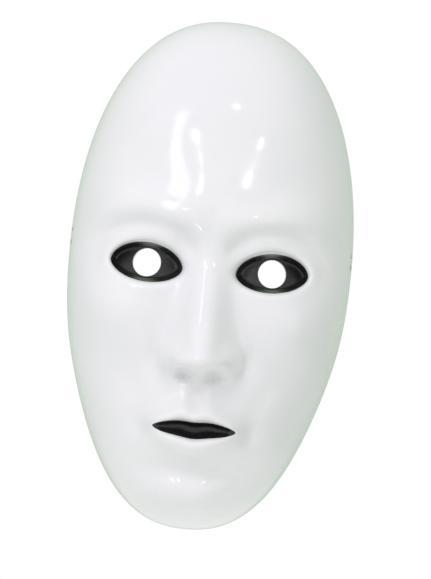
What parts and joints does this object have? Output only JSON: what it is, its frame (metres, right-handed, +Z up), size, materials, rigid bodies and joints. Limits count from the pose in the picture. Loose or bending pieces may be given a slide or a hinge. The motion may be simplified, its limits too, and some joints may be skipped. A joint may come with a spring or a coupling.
{
  "type": "costume mask",
  "caption": "Full-face costume mask: thin glossy white plastic shell with a calm face, black painted eye and mouth recesses, round peepholes and a stapled elastic band.",
  "frame": {"origin": "centre of the rim plane at eye level, where the wearer's face enters", "axes": "+Z up the forehead, -Y the way the face looks, +X to the wearer's left; the trimmed rim lies in the plane y = 0"},
  "size_m": [0.1588, 0.097, 0.285],
  "materials": {
    "white_plastic": "glossy vacuum-formed sheet, faintly cool white",
    "black_paint": "glossy black paint",
    "staple_wire": "galvanised staple wire",
    "white_elastic": "flat woven elastic"
  },
  "bodies": {
    "shell": {"mask_shell": "white_plastic", "left_eye_paint": "black_paint", "right_eye_paint": "black_paint", "mouth_paint": "black_paint", "left_staple": "staple_wire", "right_staple": "staple_wire"},
    "band": {"elastic_band": "white_elastic"}
  },
  "joints": [
    {"name": "band_swing", "type": "hinge", "parent": "shell", "child": "band", "pos_m": [0, -0.0174, 0.012], "axis": [1, 0, 0], "range_deg": [0, 100], "deforming": ["elastic_band"]}
  ]
}
